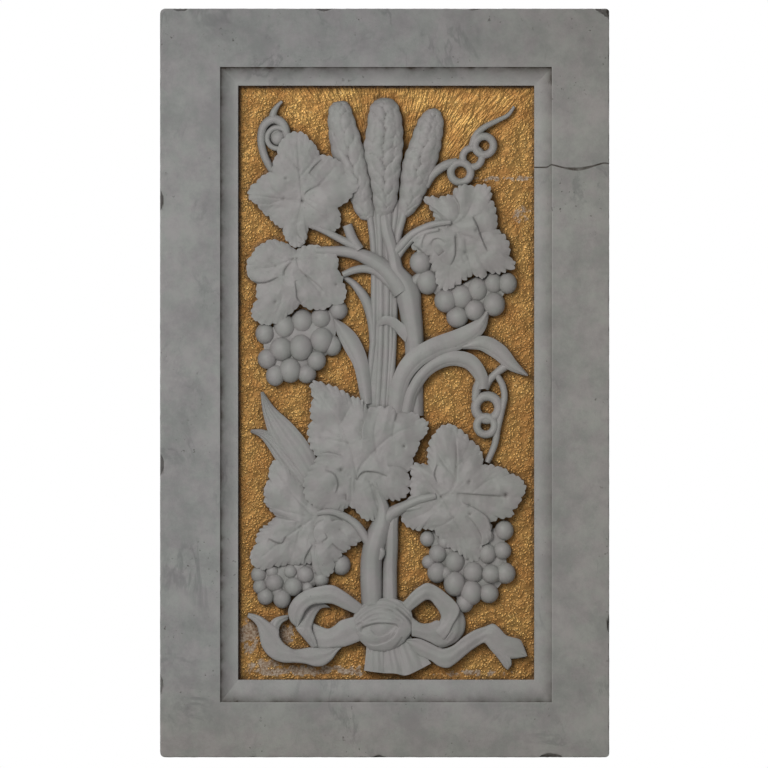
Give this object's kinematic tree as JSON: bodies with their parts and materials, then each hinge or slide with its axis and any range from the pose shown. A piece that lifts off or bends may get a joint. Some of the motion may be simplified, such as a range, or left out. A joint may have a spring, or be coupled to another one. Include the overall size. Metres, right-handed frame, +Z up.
{
  "type": "marble relief wall plaque",
  "caption": "Upright carved marble wall plaque: a raised border and hollow moulding round a sunk gilded field with wheat, vines, grapes and a ribbon bow in relief.",
  "frame": {"origin": "middle of the flat back face, where the plaque meets its wall", "axes": "+Z up along the plaque's height, +X to the viewer's right, -Y out of the carved front and +Y into the wall"},
  "size_m": [0.6, 0.062, 1],
  "materials": {
    "marble": "honed white marble with soft grey clouding, dust in the hollows and a punched field rubbed with worn gold"
  },
  "bodies": {
    "root": {"plaque": "marble"}
  },
  "joints": []
}
